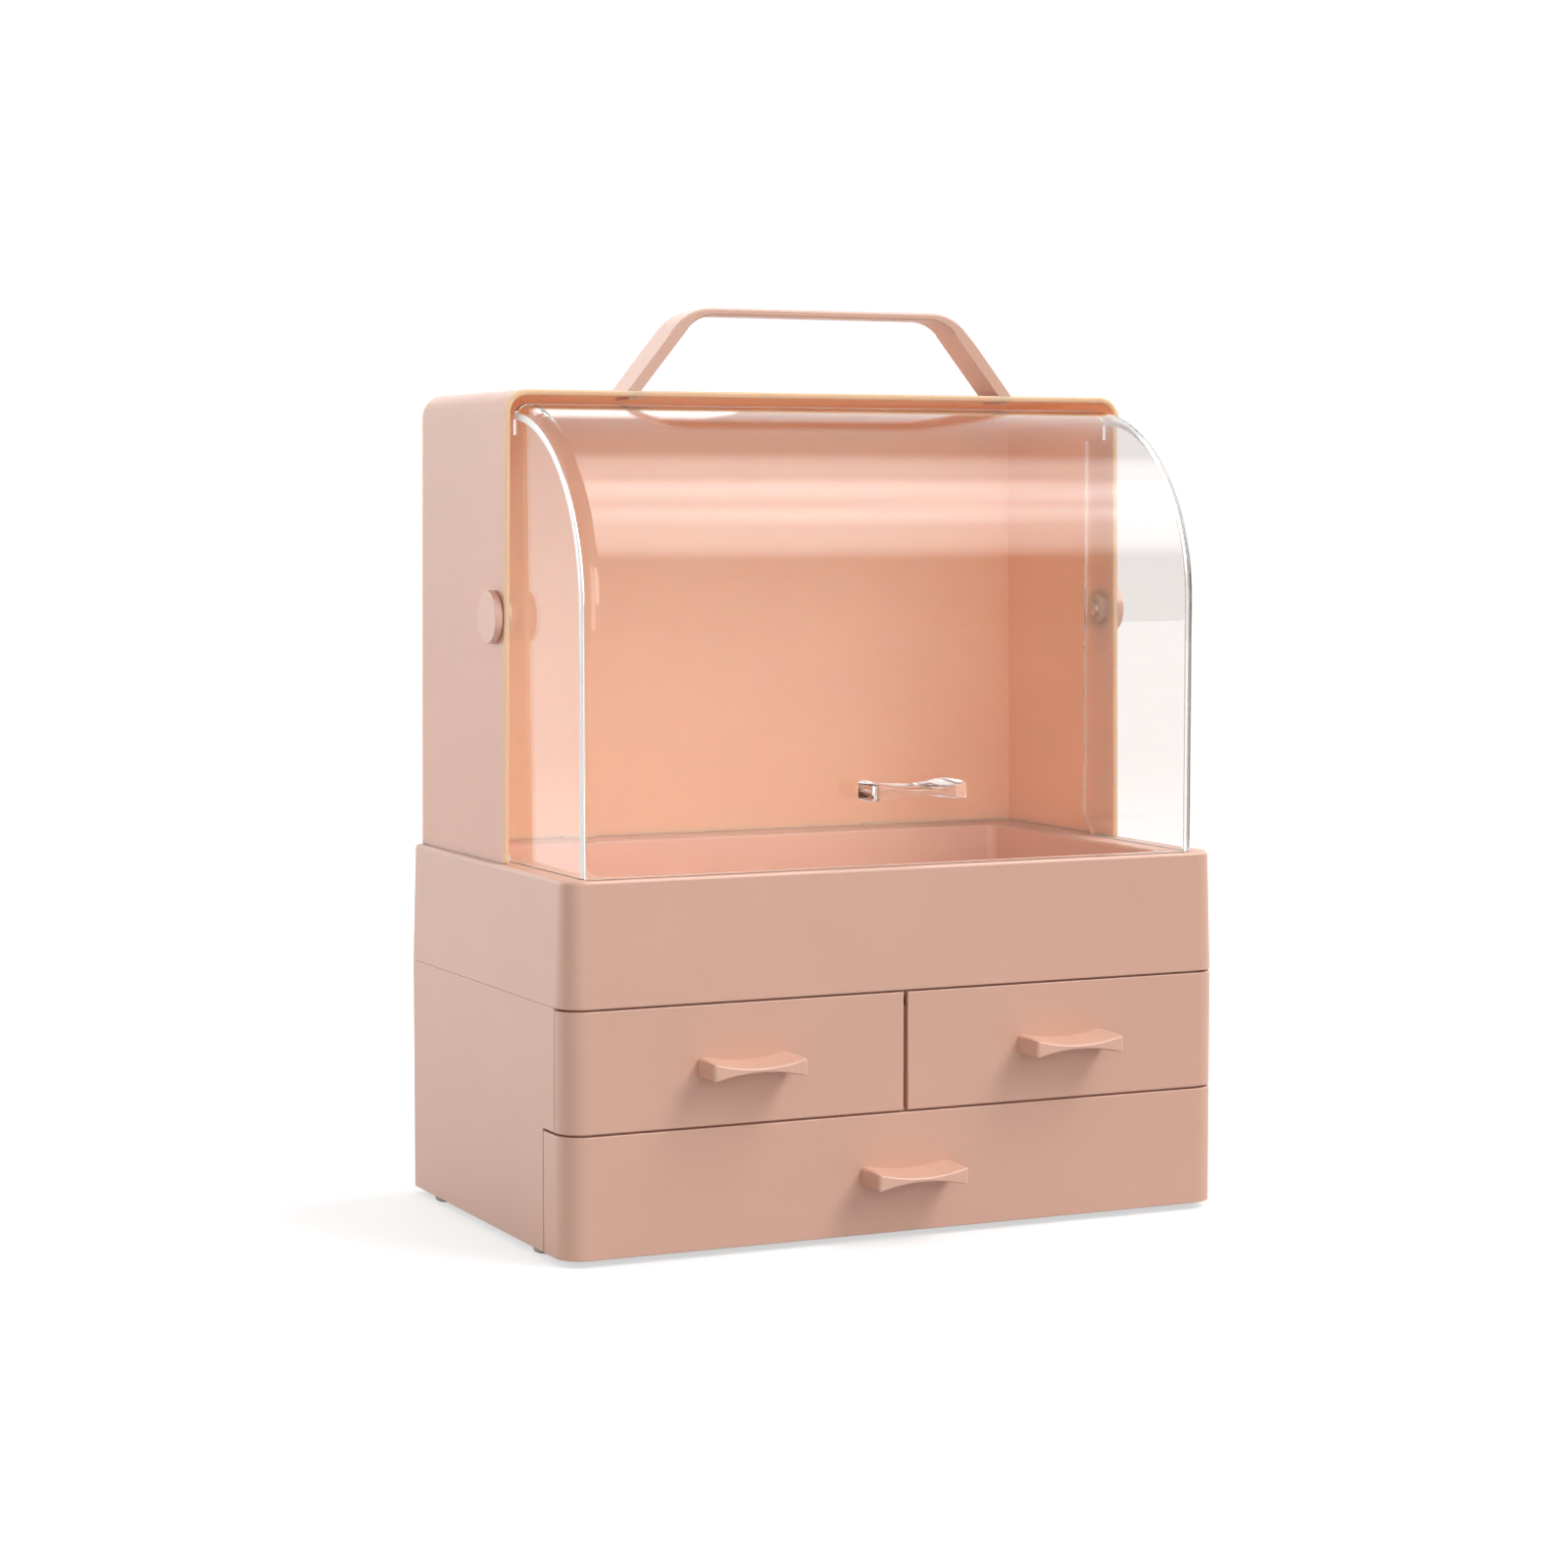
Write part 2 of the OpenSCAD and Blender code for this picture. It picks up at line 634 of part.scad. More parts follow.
module lower_pull() { drawer_pull(0, base_z + lower_pull_z); }
module left_pull() { drawer_pull(-upper_pull_x, seam_z + upper_pull_z); }
module right_pull() { drawer_pull(upper_pull_x, seam_z + upper_pull_z); }

module foot(side, y) {
    color(rubber) translate([side * (half_w - foot_side), y, 0]) {
        cylinder(d = foot_d, h = foot_h);
        cylinder(d = foot_d / 3 - 2 * fit, h = foot_h + wall / 2 - fit);
    }
}

module foot_front_left() { foot(-1, front_y + foot_front); }
module foot_front_right() { foot(1, front_y + foot_front); }
module foot_back_left() { foot(-1, back_y - foot_back); }
module foot_back_right() { foot(1, back_y - foot_back); }

module tray_screws() {
    head_h = 1.6;
    color(steel) for (x = [-1, 1], y = [screw_y_front, screw_y_back])
        translate([x * screw_x, y, ceiling_z - head_h]) {
            cylinder(d = 2 * screw_d, h = head_h);
            cylinder(d = screw_d - 2 * fit, h = head_h + wall + well_lift - tray_t);
        }
}

cabinet_shell();
drawer_shelf();
centre_partition();
tray();
hood();
visor();
visor_pull();
pivot_button_left();
pivot_button_right();
carry_handle();
lower_drawer();
left_drawer();
right_drawer();
lower_pull();
left_pull();
right_pull();
foot_front_left();
foot_front_right();
foot_back_left();
foot_back_right();
tray_screws();
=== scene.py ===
import json
import math

import bmesh
import bpy
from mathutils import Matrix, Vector

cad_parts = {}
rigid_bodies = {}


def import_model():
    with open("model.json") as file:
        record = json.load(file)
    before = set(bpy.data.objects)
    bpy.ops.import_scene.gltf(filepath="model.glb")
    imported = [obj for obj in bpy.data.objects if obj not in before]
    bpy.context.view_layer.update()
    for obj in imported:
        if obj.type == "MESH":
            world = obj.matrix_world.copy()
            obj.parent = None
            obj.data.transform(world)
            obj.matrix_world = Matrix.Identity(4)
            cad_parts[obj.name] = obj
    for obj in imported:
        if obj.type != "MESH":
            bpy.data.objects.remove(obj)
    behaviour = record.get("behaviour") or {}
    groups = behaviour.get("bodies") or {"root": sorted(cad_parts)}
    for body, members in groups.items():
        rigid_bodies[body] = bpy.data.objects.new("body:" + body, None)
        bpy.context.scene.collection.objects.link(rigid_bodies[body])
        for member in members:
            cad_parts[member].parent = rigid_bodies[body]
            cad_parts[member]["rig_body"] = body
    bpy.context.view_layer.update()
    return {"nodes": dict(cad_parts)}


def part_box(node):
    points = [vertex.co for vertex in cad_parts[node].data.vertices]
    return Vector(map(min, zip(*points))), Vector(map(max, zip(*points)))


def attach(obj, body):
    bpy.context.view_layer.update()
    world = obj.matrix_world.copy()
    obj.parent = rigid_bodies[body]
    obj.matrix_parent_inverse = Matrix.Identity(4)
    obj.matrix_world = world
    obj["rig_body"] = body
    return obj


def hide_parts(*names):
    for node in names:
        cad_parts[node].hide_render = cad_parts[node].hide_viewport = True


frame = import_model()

# Dustproof makeup organizer: finishes, softened edges, studio floor, light and camera.
# Metres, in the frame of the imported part: X to the right, Y to the back, Z up.

NODES = frame["nodes"]
MM = 0.001

# Camera, solved from the photograph's edges: square frame, no shift
IMAGE_SIDE = 1600
FOCAL_PX = 3621.5
SENSOR_MM = 36.0
CAMERA_PLACE = Vector((-0.5997, -1.2430, 0.2737))
CAMERA_YAW_DEG = -25.176
CAMERA_PITCH_DEG = 4.49
CAMERA_CLIP = 0.01

# Colours as linear red, green and blue. A pair is the two ends of a slight variation.
PEACH = (0.68, 0.395, 0.295)
# Painted light: a lighter copy of the peach plastic on the hood's inside and front rim, for light
# that bounces round inside the hood and shines through its walls
PEACH_INSIDE_PAINTED_LIGHT = (0.785, 0.515, 0.35)
# Painted light: a lighter copy of the peach plastic on the tray's well, for the light that
# bounces round inside it
PEACH_WELL_PAINTED_LIGHT = (0.81, 0.46, 0.33)
PEACH_THIN = (0.63, 0.385, 0.29)
PEACH_TRIM = (0.74, 0.44, 0.33)
CLOUDINESS = 0.015
CLEAR = ((0.962, 0.965, 0.962), (0.972, 0.972, 0.972))
CLEAR_FOR_LAMPS = (0.985, 0.985, 0.985, 1)
# Pale, cloudy plastic for the visor's cut foot, which on the strip along its rounded edges is a
# painted highlight
MILKY_FOOT_AND_HIGHLIGHT = ((0.93, 0.91, 0.89), (0.97, 0.96, 0.95))
DUSTY_RUBBER = ((0.50, 0.46, 0.43), (0.60, 0.56, 0.53))
STEEL = ((0.50, 0.51, 0.53), (0.62, 0.63, 0.65))
FLOOR_PALE = ((0.43, 0.43, 0.43), (0.45, 0.45, 0.45))
FLOOR_DARK = (0.2, 0.2, 0.2, 1)

# How the plastics bend, mirror and soak up light. Light goes further into them when it is red.
PEACH_IOR = 1.5
PEACH_SPECULAR = 0.95
CLEAR_IOR = 1.49
SOAKS_IN = (1.0, 0.75, 0.40)
SOAKS_IN_MM = 5.0

# Roughness of the surfaces, and the two ends of its variation where it varies
SATIN = 0.42
SATIN_INSIDE = 0.5
SATIN_WELL = 0.45
SATIN_TRIM = 0.38
SATIN_SPREAD = 0.03
MILKY_ROUGHNESS = (0.15, 0.25)
RUBBER_ROUGHNESS = (0.7, 0.85)
STEEL_ROUGHNESS = (0.25, 0.4)
FLOOR_ROUGHNESS = 0.9
FLOOR_SPECULAR = 0.1

# Surface detail: the scale of its noise, and the strength and depth of its bump
CLOUD_SCALE = 28.0
GRAIN_SCALE = 2600.0
GRAIN_BUMP = (0.25, 0.02 * MM)
SINK_SCALE = 45.0
SINK_BUMP = (0.15, 0.05 * MM)
HAZE_SCALE = 90.0
WAVE_SCALE = 14.0
WAVE_BUMP = (0.1, 0.05 * MM)
MILKY_SCALE = 120.0
DUST_SCALE = 300.0
DUST_BUMP = (0.3, 0.05 * MM)
BRUSHED_SCALE = 500.0
BRUSHED_STRETCH = (1, 1, 12)
BRUSHED_BUMP = (0.2, 0.02 * MM)
FLOOR_SCALE = 3.0
# The middle range of a noise, where nearly all of its values lie
NOISE_RANGE = (0.3, 0.7)

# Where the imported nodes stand, and the radii of the cabinet's upright edges
HALF_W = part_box("cabinet_shell")[1].x
TRAY_LOW, TRAY_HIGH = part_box("tray")
HOOD_LOW, HOOD_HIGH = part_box("hood")
VISOR_FOOT_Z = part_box("visor")[0].z
FRONT_Y = TRAY_LOW.y
BACK_Y = TRAY_HIGH.y
MIDDLE_Y = (FRONT_Y + BACK_Y) / 2
FRONT_R = 10 * MM
BACK_R = 2.5 * MM
# How far the tray's walls lean in from its foot to its rim
TRAY_LEAN = 1.3 * MM

# Limits that single out the well: its mouth, its floor, and the space inside the tray's walls,
# whose faces get painted light
MOUTH_X = TRAY_HIGH.x - 20 * MM
MOUTH_BACK_Y = BACK_Y - 15 * MM
WELL_FLOOR_LOW_Z = TRAY_LOW.z + 3 * MM
WELL_FLOOR_HIGH_Z = TRAY_LOW.z + 10 * MM
INSIDE_X = TRAY_HIGH.x - 8 * MM
INSIDE_FRONT_Y = FRONT_Y + 5 * MM
BELOW_RIM_Z = TRAY_HIGH.z - 0.5 * MM
NOT_FACING_DOWN = -0.1

# Limits that single out the hood's front rim, which gets painted light, the pulls' free ends and
# the visor's rounded edges, whose faces turn between these two amounts to the side and get a
# painted highlight
HOOD_RIM_Y = HOOD_LOW.y + 1.0 * MM
PULLS_Y = FRONT_Y - 0.5 * MM
VISOR_HIGHLIGHT_FROM = 0.90
VISOR_HIGHLIGHT_TO = 0.99999

# Tolerances of the meshes: same place, same point, flat, sharp enough to round, sharp to the eye.
# The last value lets large faces set the direction of the smoothed normals.
NEAR = 0.03 * MM
WELD = 0.002 * MM
FLAT_DEG = 0.1
ROUNDED_FROM_DEG = 25
SHARP_FROM_DEG = 40
FACE_AREA_WEIGHT = 100

# Rounded edges: radius in millimetres and number of steps
SEAM = (0.35, 2)
DRAWER_EDGE = (0.4, 3)
TRAY_EDGE = (1.6, 5)
WELL_CORNER = (1.5, 4)
HOOD_RIM = (0.7, 3)
HANDLE_EDGE = (0.8, 4)
PULL_EDGE = (0.6, 3)
BUTTON_EDGE = (0.5, 4)
FOOT_EDGE = (0.8, 4)
SCREW_EDGE = (0.15, 2)

# The floor reaches this far each way. It glows, and in front it has no mirrored glow: the glow
# fades between these two places, from the back to the front.
FLOOR_REACH = 6.0
FLOOR_GLOW = 0.6
MIRRORED_GLOW_Y = (0.1, -0.3)

# Brightness of the studio's walls round the part: azimuth in degrees, then brightness
WALLS = [
    (-180, 1.3), (-150, 1.6), (-125, 1.7), (-100, 0.5), (-75, 0.12), (-40, 0.25), (-15, 0.7),
    (5, 0.5), (20, 0.3), (50, 0.25), (85, 0.25), (115, 0.9), (135, 1.25), (155, 1.25), (180, 1.3),
]
# The walls turn into the ceiling between these two values of the upward part of a direction
WALL_TO_CEILING_Z = (0.45, 0.80)
CEILING = 0.72
# Brightness of the backdrop, seen straight and seen through clear plastic
BACKDROP = 1.3
BACKDROP_THROUGH_CLEAR = 1.15
# Soft lamps side by side in front, at the right, that rise to the right: azimuth and elevation,
# how wide the bright middle and the whole patch are in degrees, and brightness
LAMPS = [
    ((33, 37), 2, 17, 6.6),
    ((46, 52), 2, 16, 6.4),
    ((66, 63), 2, 19, 4.6),
]
# Softboxes aimed at the part's middle: azimuth, elevation, distance, width, height, brightness
SOFTBOXES = {
    "front_box": (0, 12, 2.2, 0.9, 0.8, 2.7),
    "front_left_box": (-32, 10, 2.2, 1.2, 0.8, 1.5),
    "right_box": (62, 42, 2.2, 1.0, 0.9, 0.6),
    "left_rear_box": (-135, 12, 2.2, 0.9, 0.9, 4.2),
    "right_rear_box": (105, 25, 1.6, 1.0, 1.0, 2.6),
    "rear_box": (175, 30, 1.8, 1.2, 1.0, 1.2),
}
PART_MIDDLE = Vector((0, 0, 0.17))


def new_material(name):
    """An empty node material with its output and a Principled shader."""
    material = bpy.data.materials.new(name)
    material.use_nodes = True
    tree = material.node_tree
    tree.nodes.clear()
    output = tree.nodes.new("ShaderNodeOutputMaterial")
    shader = tree.nodes.new("ShaderNodeBsdfPrincipled")
    tree.links.new(shader.outputs["BSDF"], output.inputs["Surface"])
    return material, tree, shader, output


def noise(tree, scale, detail=3.0, stretch=(1, 1, 1)):
    """Noise in the part's own coordinates, so that it moves with the piece."""
    place = tree.nodes.new("ShaderNodeTexCoord")
    mapping = tree.nodes.new("ShaderNodeMapping")
    mapping.inputs["Scale"].default_value = stretch
    texture = tree.nodes.new("ShaderNodeTexNoise")
    texture.inputs["Scale"].default_value = scale
    texture.inputs["Detail"].default_value = detail
    tree.links.new(place.outputs["Object"], mapping.inputs["Vector"])
    tree.links.new(mapping.outputs["Vector"], texture.inputs["Vector"])
    return texture.outputs["Fac"]


def map_range(tree, source, old, new=(0, 1), smooth=False):
    """The source with its old range spread over the new one, and held inside it."""
    node = tree.nodes.new("ShaderNodeMapRange")
    if smooth:
        node.interpolation_type = "SMOOTHSTEP"
    for end, value in zip(("From Min", "From Max", "To Min", "To Max"), (*old, *new)):
        node.inputs[end].default_value = value
    tree.links.new(source, node.inputs["Value"])
    return node.outputs["Result"]


def colour_between(tree, source, first, second):
    """The colour first where a noise is low, second where it is high."""
    ramp = tree.nodes.new("ShaderNodeValToRGB")
    for element, position, colour in zip(ramp.color_ramp.elements, NOISE_RANGE, (first, second)):
        element.position = position
        element.color = (*colour, 1)
    tree.links.new(source, ramp.inputs["Fac"])
    return ramp.outputs["Color"]


def bump(tree, source, strength_and_depth, below=None):
    """A bump with its strength and its depth in metres, over another one where below is given."""
    strength, depth = strength_and_depth
    node = tree.nodes.new("ShaderNodeBump")
    node.inputs["Strength"].default_value = strength
    node.inputs["Distance"].default_value = depth
    tree.links.new(source, node.inputs["Height"])
    if below is not None:
        tree.links.new(below, node.inputs["Normal"])
    return node.outputs["Normal"]


def math_node(tree, operation, first, second, clamp=False):
    """The result of an operation on two outputs, or on an output and a number."""
    node = tree.nodes.new("ShaderNodeMath")
    node.operation = operation
    node.use_clamp = clamp
    for socket, value in zip(node.inputs, (first, second)):
        if isinstance(value, (int, float)):
            socket.default_value = value
        else:
            tree.links.new(value, socket)
    return node.outputs[0]


def mix_shaders(tree, factor, first, second):
    """The shader first where factor is 0, second where it is 1."""
    mix = tree.nodes.new("ShaderNodeMixShader")
    tree.links.new(factor, mix.inputs["Fac"])
    tree.links.new(first, mix.inputs[1])
    tree.links.new(second, mix.inputs[2])
    return mix.outputs["Shader"]


def shade(colour, factor):
    """The colour made lighter or darker."""
    return tuple(channel * factor for channel in colour)


def satin_plastic(name, colour, roughness, seen_through_mm=0.0):
    """Moulded plastic with a fine spark-eroded grain, faint sinks and a faint cloudiness. Where
    it is thin, seen_through_mm is how far light goes into it."""
    material, tree, shader, _ = new_material(name)
    cloud = noise(tree, CLOUD_SCALE, detail=2.0)
    paler = shade(colour, 1 + CLOUDINESS)
    deeper = shade(colour, 1 - CLOUDINESS)
    tree.links.new(colour_between(tree, cloud, deeper, paler), shader.inputs["Base Color"])
    grain = noise(tree, GRAIN_SCALE, detail=2.0)
    spread = (roughness - SATIN_SPREAD, roughness + SATIN_SPREAD)
    tree.links.new(map_range(tree, grain, NOISE_RANGE, spread), shader.inputs["Roughness"])
    sink = bump(tree, noise(tree, SINK_SCALE, detail=1.0), SINK_BUMP)
    tree.links.new(bump(tree, grain, GRAIN_BUMP, sink), shader.inputs["Normal"])
    shader.inputs["IOR"].default_value = PEACH_IOR
    shader.inputs["Specular IOR Level"].default_value = PEACH_SPECULAR
    if seen_through_mm > 0:
        shader.inputs["Subsurface Weight"].default_value = 1.0
        shader.inputs["Subsurface Radius"].default_value = SOAKS_IN
        shader.inputs["Subsurface Scale"].default_value = seen_through_mm * MM
    return material


def clear_plastic(name):
    """Polished clear plastic. Lamps shine through it, so that what it covers is lit."""
    material, tree, shader, output = new_material(name)
    haze = noise(tree, HAZE_SCALE, detail=4.0)
    tree.links.new(colour_between(tree, haze, *CLEAR), shader.inputs["Base Color"])
    shader.inputs["Transmission Weight"].default_value = 1.0
    shader.inputs["IOR"].default_value = CLEAR_IOR
    shader.inputs["Roughness"].default_value = 0.0
    wave = noise(tree, WAVE_SCALE, detail=1.0)
    tree.links.new(bump(tree, wave, WAVE_BUMP), shader.inputs["Normal"])
    path = tree.nodes.new("ShaderNodeLightPath")
    lamp_way = tree.nodes.new("ShaderNodeBsdfTransparent")
    lamp_way.inputs["Color"].default_value = CLEAR_FOR_LAMPS
    surface = mix_shaders(
        tree, path.outputs["Is Shadow Ray"], shader.outputs["BSDF"], lamp_way.outputs["BSDF"]
    )
    tree.links.new(surface, output.inputs["Surface"])
    return material


def milky_foot_and_painted_highlight(name):
    """Pale, cloudy plastic on the visor's cut foot, and as a painted highlight on the strip along
    its rounded edges, where a bright line of light shows.
    """
    material, tree, shader, _ = new_material(name)
    haze = noise(tree, MILKY_SCALE, detail=3.0)
    tree.links.new(colour_between(tree, haze, *MILKY_FOOT_AND_HIGHLIGHT), shader.inputs["Base Color"])
    rough = map_range(tree, haze, NOISE_RANGE, MILKY_ROUGHNESS)
    tree.links.new(rough, shader.inputs["Roughness"])
    shader.inputs["IOR"].default_value = CLEAR_IOR
    return material


def foot_rubber(name):
    """Dull rubber with dust in its pores."""
    material, tree, shader, _ = new_material(name)
    dust = noise(tree, DUST_SCALE, detail=4.0)
    tree.links.new(colour_between(tree, dust, *DUSTY_RUBBER), shader.inputs["Base Color"])
    rough = map_range(tree, dust, NOISE_RANGE, RUBBER_ROUGHNESS)
    tree.links.new(rough, shader.inputs["Roughness"])
    tree.links.new(bump(tree, dust, DUST_BUMP), shader.inputs["Normal"])
    return material


def screw_steel(name):
    """Brushed steel, with its fine lines round the screws."""
    material, tree, shader, _ = new_material(name)
    shader.inputs["Metallic"].default_value = 1.0
    brushed = noise(tree, BRUSHED_SCALE, detail=3.0, stretch=BRUSHED_STRETCH)
    tree.links.new(colour_between(tree, brushed, *STEEL), shader.inputs["Base Color"])
    rough = map_range(tree, brushed, NOISE_RANGE, STEEL_ROUGHNESS)
    tree.links.new(rough, shader.inputs["Roughness"])
    tree.links.new(bump(tree, brushed, BRUSHED_BUMP), shader.inputs["Normal"])
    return material


def near(value, target):
    return abs(value - target) < NEAR


def outline_distance(point, lean):
    """Distance in plan from the cabinet's outline drawn in by lean: zero on it, less inside."""
    radius = (FRONT_R if point.y < MIDDLE_Y else BACK_R) - lean
    half_depth = (BACK_Y - FRONT_Y) / 2 - lean
    over_x = abs(point.x) - (HALF_W - lean - radius)
    over_y = abs(point.y - MIDDLE_Y) - (half_depth - radius)
    beyond = math.hypot(max(over_x, 0), max(over_y, 0))
    return beyond + min(max(over_x, over_y), 0) - radius


def on_walls(point):
    """On the outer walls of the cabinet and of the drawer fronts."""
    return near(outline_distance(point, 0), 0)


def tray_foot(point):
    """On the tray's lower outer edge."""
    return near(point.z, TRAY_LOW.z) and on_walls(point)


def tray_rim(point):
    """On the tray's upper outer edge."""
    return near(point.z, TRAY_HIGH.z) and near(outline_distance(point, TRAY_LEAN), 0)


def well_mouth(point):
    """On the well's upper edge, which is far inside the rim and not one of the small slots."""
    inside = abs(point.x) < MOUTH_X and point.y < MOUTH_BACK_Y
    return near(point.z, TRAY_HIGH.z) and inside


def well_floor(point):
    """Low in the well, where its walls meet its floor."""
    return abs(point.x) < MOUTH_X and WELL_FLOOR_LOW_Z < point.z < WELL_FLOOR_HIGH_Z


def hood_face(point):
    """On the hood's front face."""
    return near(point.y, HOOD_LOW.y)


def above_roof(point):
    """On the part of the handle that stands over the hood."""
    return point.z > HOOD_HIGH.z + NEAR


def before_front(point):
    """On the part of a pull that stands before the front."""
    return point.y < PULLS_Y


def on_floor(point):
    return near(point.z, 0)


def everywhere(point):
    return True


def hood_painted_light_faces(face):
    """The hood's front rim and the faces that look towards its middle, which get a lighter copy
    of the plastic as painted light.
    """
    spot = face.calc_center_median()
    inward = (HOOD_LOW + HOOD_HIGH) / 2 - spot
    return spot.y < HOOD_RIM_Y or face.normal.dot(inward) > 0


def well_painted_light_faces(face):
    """The well's walls and its floor, which get a lighter copy of the plastic as painted light.
    """
    spot = face.calc_center_median()
    deep = WELL_FLOOR_LOW_Z < spot.z < BELOW_RIM_Z
    within = abs(spot.x) < INSIDE_X and INSIDE_FRONT_Y < spot.y < MOUTH_BACK_Y
    return deep and within and face.normal.z > NOT_FACING_DOWN


def visor_foot_and_highlight_strip(face):
    """The visor's cut foot, and the part of its rounded edges next to its flat sides, where pale
    plastic is a painted highlight.
    """
    spot = face.calc_center_median()
    sideways = face.normal.x * math.copysign(1, spot.x)
    return VISOR_HIGHLIGHT_FROM < sideways < VISOR_HIGHLIGHT_TO or near(spot.z, VISOR_FOOT_Z)


def sharp_edges(shape, chosen):
    """The shape's sharp edges whose two ends are both among the chosen places."""
    least = math.radians(ROUNDED_FROM_DEG)
    return [
        edge for edge in shape.edges
        if edge.is_manifold and edge.calc_face_angle() > least
        and all(chosen(corner.co) for corner in edge.verts)
    ]


def moulded(node_name, material, roundings, patch=None):
    """A node's shape with its edges rounded. Each rounding has a place and a rounded edge's
    radius and steps. A patch is a second material and the faces that get it. The new piece
    stands for the node."""
    node = NODES[node_name]
    shape = bmesh.new()
    shape.from_mesh(node.data)
    bmesh.ops.remove_doubles(shape, verts=shape.verts, dist=WELD)
    bmesh.ops.dissolve_limit(
        shape, angle_limit=math.radians(FLAT_DEG), verts=shape.verts, edges=shape.edges
    )
    for chosen, (radius_mm, steps) in roundings:
        bmesh.ops.bevel(
            shape, geom=sharp_edges(shape, chosen), affect="EDGES", offset=radius_mm * MM,
            segments=steps, profile=0.5, clamp_overlap=False,
            miter_outer="ARC", miter_inner="SHARP",
        )
    shape.normal_update()
    for face in shape.faces:
        face.material_index = 1 if patch is not None and patch[1](face) else 0
    mesh = bpy.data.meshes.new(node_name + "_moulded")
    mesh.materials.append(material)
    if patch is not None:
        mesh.materials.append(patch[0])
    shape.to_mesh(mesh)
    shape.free()
    for layer in ("custom_normal", "sharp_edge", "sharp_face"):
        if layer in mesh.attributes:
            mesh.attributes.remove(mesh.attributes[layer])
    mesh.shade_smooth()
    mesh.set_sharp_from_angle(angle=math.radians(SHARP_FROM_DEG))
    piece = bpy.data.objects.new(mesh.name, mesh)
    bpy.context.scene.collection.objects.link(piece)
    normals = piece.modifiers.new("normals", "WEIGHTED_NORMAL")
    normals.keep_sharp = True
    normals.weight = FACE_AREA_WEIGHT
    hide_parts(node_name)
    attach(piece, node["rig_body"])
    return piece


def studio_floor():
    """A wide pale floor, slightly uneven. It glows, but not onto dull surfaces, so that it is
    white while little light comes up from it. Shiny surfaces mirror its glow only at the back."""
    reach = FLOOR_REACH
    mesh = bpy.data.meshes.new("floor")
    corners = [(-reach, -reach, 0), (reach, -reach, 0), (reach, reach, 0), (-reach, reach, 0)]
    mesh.from_pydata(corners, [], [(0, 1, 2, 3)])
    floor = bpy.data.objects.new("floor", mesh)
    bpy.context.scene.collection.objects.link(floor)
    material, tree, shader, _ = new_material("floor_white")
    pale = colour_between(tree, noise(tree, FLOOR_SCALE, detail=2.0), *FLOOR_PALE)
    shader.inputs["Roughness"].default_value = FLOOR_ROUGHNESS
    shader.inputs["Specular IOR Level"].default_value = FLOOR_SPECULAR
    shader.inputs["Emission Color"].default_value = (1, 1, 1, 1)

    path = tree.nodes.new("ShaderNodeLightPath")
    place = tree.nodes.new("ShaderNodeTexCoord")
    split = tree.nodes.new("ShaderNodeSeparateXYZ")
    tree.links.new(place.outputs["Object"], split.inputs["Vector"])
    in_front = map_range(tree, split.outputs["Y"], MIRRORED_GLOW_Y)
    # A ray that goes straight through clear plastic counts as glossy too, so it is taken off
    bounced = math_node(
        tree, "SUBTRACT", path.outputs["Is Glossy Ray"], path.outputs["Is Transmission Ray"]
    )
    mirrored = math_node(tree, "MULTIPLY", in_front, bounced, clamp=True)
    colour = tree.nodes.new("ShaderNodeMix")
    colour.data_type = "RGBA"
    tree.links.new(mirrored, colour.inputs["Factor"])
    tree.links.new(pale, colour.inputs["A"])
    colour.inputs["B"].default_value = FLOOR_DARK
    tree.links.new(colour.outputs["Result"], shader.inputs["Base Color"])
    dark = math_node(tree, "MAXIMUM", path.outputs["Diffuse Depth"], mirrored)
    glow = map_range(tree, dark, (0, 1), (FLOOR_GLOW, 0))
    tree.links.new(glow, shader.inputs["Emission Strength"])
    material.cycles.emission_sampling = "NONE"
    floor.data.materials.append(material)


def direction(azimuth_deg, elevation_deg):
    """The way towards an azimuth (0 in front, 90 at the right) and an elevation."""
    azimuth = math.radians(azimuth_deg)
    elevation = math.radians(elevation_deg)
    return Vector((
        math.sin(azimuth) * math.cos(elevation),
        -math.cos(azimuth) * math.cos(elevation),
        math.sin(elevation),
    ))


def wall_light(tree, east, north):
    """The walls' brightness towards the right (east) and the back (north), from WALLS."""
    to_front = math_node(tree, "MULTIPLY", north, -1)
    azimuth = math_node(tree, "ARCTAN2", east, to_front)
    turn = map_range(tree, azimuth, (-math.pi, math.pi))
    walls = tree.nodes.new("ShaderNodeFloatCurve")
    curve = walls.mapping.curves[0]
    brightest = max(brightness for _, brightness in WALLS)
    spots = [((degrees + 180) / 360, brightness / brightest) for degrees, brightness in WALLS]
    curve.points[0].location = spots[0]
    curve.points[-1].location = spots[-1]
    for spot in spots[1:-1]:
        curve.points.new(*spot)
    walls.mapping.update()
    tree.links.new(turn, walls.inputs["Value"])
    return math_node(tree, "MULTIPLY", walls.outputs["Value"], brightest)


def room_light(tree, walls, height):
    """The walls below, and a grey ceiling above."""
    upward = map_range(tree, height, WALL_TO_CEILING_Z, smooth=True)
    room = tree.nodes.new("ShaderNodeMix")
    room.data_type = "FLOAT"
    tree.links.new(upward, room.inputs["Factor"])
    tree.links.new(walls, room.inputs["A"])
    room.inputs["B"].default_value = CEILING
    return room.outputs["Result"]


def lamp_light(tree, view, way, inner_deg, outer_deg, brightness):
    """A bright round patch with a soft edge."""
    toward = tree.nodes.new("ShaderNodeVectorMath")
    toward.operation = "DOT_PRODUCT"
    toward.inputs[1].default_value = direction(*way)
    tree.links.new(view, toward.inputs[0])
    edges = (math.cos(math.radians(outer_deg)), math.cos(math.radians(inner_deg)))
    return map_range(tree, toward.outputs["Value"], edges, (0, brightness), smooth=True)


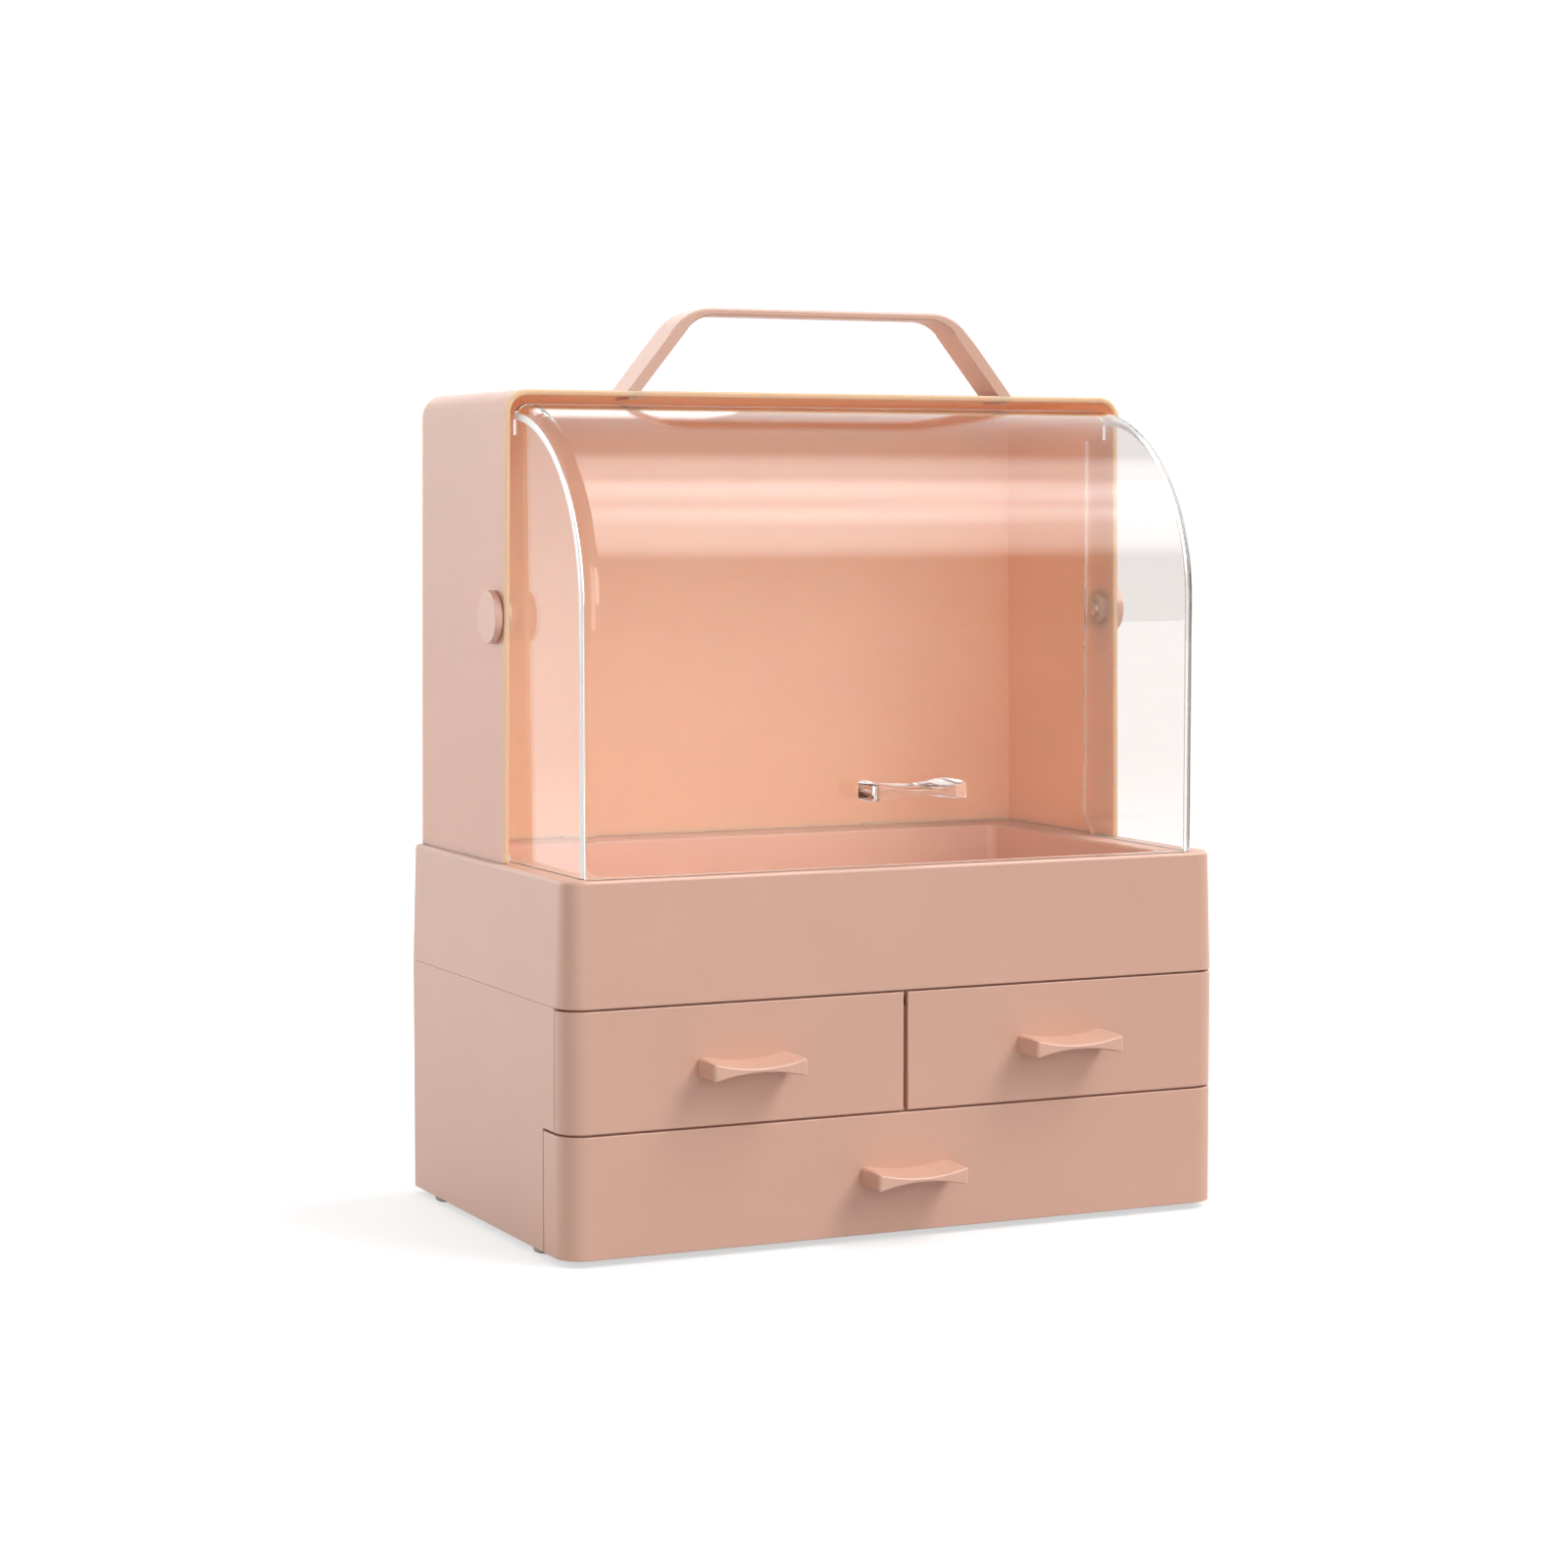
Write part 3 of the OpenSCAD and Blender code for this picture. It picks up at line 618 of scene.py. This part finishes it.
def studio_world():
    """Walls that are white behind the part and darker at its sides, a grey ceiling, and bright
    patches with soft edges that stand for large lamps. Looked at straight, the room is one
    white backdrop."""
    world = bpy.data.worlds.new("studio")
    bpy.context.scene.world = world
    world.use_nodes = True
    tree = world.node_tree
    tree.nodes.clear()
    output = tree.nodes.new("ShaderNodeOutputWorld")
    background = tree.nodes.new("ShaderNodeBackground")
    place = tree.nodes.new("ShaderNodeTexCoord")
    split = tree.nodes.new("ShaderNodeSeparateXYZ")
    view = place.outputs["Generated"]
    tree.links.new(view, split.inputs["Vector"])
    walls = wall_light(tree, split.outputs["X"], split.outputs["Y"])
    light = room_light(tree, walls, split.outputs["Z"])
    for way, inner_deg, outer_deg, brightness in LAMPS:
        lamp = lamp_light(tree, view, way, inner_deg, outer_deg, brightness)
        light = math_node(tree, "ADD", light, lamp)
    tree.links.new(light, background.inputs["Strength"])

    backdrop = tree.nodes.new("ShaderNodeBackground")
    path = tree.nodes.new("ShaderNodeLightPath")
    # Seen straight through clear plastic, and not after a bounce off a dull surface
    straight = math_node(
        tree, "SUBTRACT", path.outputs["Is Transmission Ray"], path.outputs["Diffuse Depth"],
        clamp=True,
    )
    look = math_node(tree, "MAXIMUM", path.outputs["Is Camera Ray"], straight)
    veiled = map_range(tree, straight, (0, 1), (BACKDROP, BACKDROP_THROUGH_CLEAR))
    tree.links.new(veiled, backdrop.inputs["Strength"])
    seen = mix_shaders(
        tree, look, background.outputs["Background"], backdrop.outputs["Background"]
    )
    tree.links.new(seen, output.inputs["Surface"])


def softbox(name, azimuth_deg, elevation_deg, distance, width, height, brightness):
    """A lamp aimed at the middle of the part. Brightness is that of its surface."""
    away = direction(azimuth_deg, elevation_deg)
    lamp = bpy.data.lights.new(name, "AREA")
    lamp.shape = "RECTANGLE"
    lamp.size = width
    lamp.size_y = height
    lamp.energy = math.pi * width * height * brightness
    place = bpy.data.objects.new(name, lamp)
    place.location = PART_MIDDLE + away * distance
    place.rotation_euler = away.to_track_quat("Z", "Y").to_euler()
    bpy.context.scene.collection.objects.link(place)


def camera():
    """The photograph's camera."""
    data = bpy.data.cameras.new("camera")
    data.sensor_width = SENSOR_MM
    data.lens = FOCAL_PX / IMAGE_SIDE * SENSOR_MM
    data.clip_start = CAMERA_CLIP
    place = bpy.data.objects.new("camera", data)
    place.location = CAMERA_PLACE
    place.rotation_euler = (
        math.radians(90 - CAMERA_PITCH_DEG), 0, math.radians(CAMERA_YAW_DEG)
    )
    bpy.context.scene.collection.objects.link(place)
    bpy.context.scene.camera = place


peach = satin_plastic("peach_plastic_satin", PEACH, SATIN)
peach_thin = satin_plastic("peach_plastic_thin", PEACH_THIN, SATIN, SOAKS_IN_MM)
# Painted light: a lighter copy of the plastic for the hood's inside and front rim
peach_inside_painted_light = satin_plastic("peach_plastic_inside_painted_light", PEACH_INSIDE_PAINTED_LIGHT, SATIN_INSIDE, SOAKS_IN_MM)
# Painted light: a lighter copy of the plastic for the tray's well
peach_well_painted_light = satin_plastic("peach_plastic_well_painted_light", PEACH_WELL_PAINTED_LIGHT, SATIN_WELL)
trim = satin_plastic("peach_trim_satin", PEACH_TRIM, SATIN_TRIM)
clear = clear_plastic("clear_plastic_polished")
# Pale plastic for the visor's cut foot, and a painted highlight along its rounded edges
milky_foot_and_highlight = milky_foot_and_painted_highlight("clear_plastic_milky_foot_and_painted_highlight")
rubber = foot_rubber("foot_rubber")
steel = screw_steel("screw_steel")

moulded("cabinet_shell", peach, [(on_walls, SEAM)])
moulded("drawer_shelf", peach, [])
moulded("centre_partition", peach, [])
tray_roundings = [
    (tray_rim, TRAY_EDGE),
    (tray_foot, SEAM),
    (well_mouth, TRAY_EDGE),
    (well_floor, WELL_CORNER),
]
# The well's faces get the painted light
moulded("tray", peach, tray_roundings, patch=(peach_well_painted_light, well_painted_light_faces))
# The hood's inside and front rim get the painted light
moulded("hood", peach_thin, [(hood_face, HOOD_RIM)], patch=(peach_inside_painted_light, hood_painted_light_faces))
for drawer in ("lower_drawer", "left_drawer", "right_drawer"):
    moulded(drawer, peach, [(on_walls, DRAWER_EDGE)])
moulded("carry_handle", trim, [(above_roof, HANDLE_EDGE)])
for pull in ("lower_pull", "left_pull", "right_pull"):
    moulded(pull, trim, [(before_front, PULL_EDGE)])
for button in ("pivot_button_left", "pivot_button_right"):
    moulded(button, trim, [(everywhere, BUTTON_EDGE)])
for foot in ("foot_front_left", "foot_front_right", "foot_back_left", "foot_back_right"):
    moulded(foot, rubber, [(on_floor, FOOT_EDGE)])
# The visor's rounded edges next to its flat sides get the painted highlight
moulded("visor", clear, [], patch=(milky_foot_and_highlight, visor_foot_and_highlight_strip))
moulded("visor_pull", clear, [(before_front, PULL_EDGE)])
moulded("tray_screws", steel, [(everywhere, SCREW_EDGE)])

studio_floor()
studio_world()
for name, numbers in SOFTBOXES.items():
    softbox(name, *numbers)
camera()
bpy.context.scene.view_settings.view_transform = "Standard"
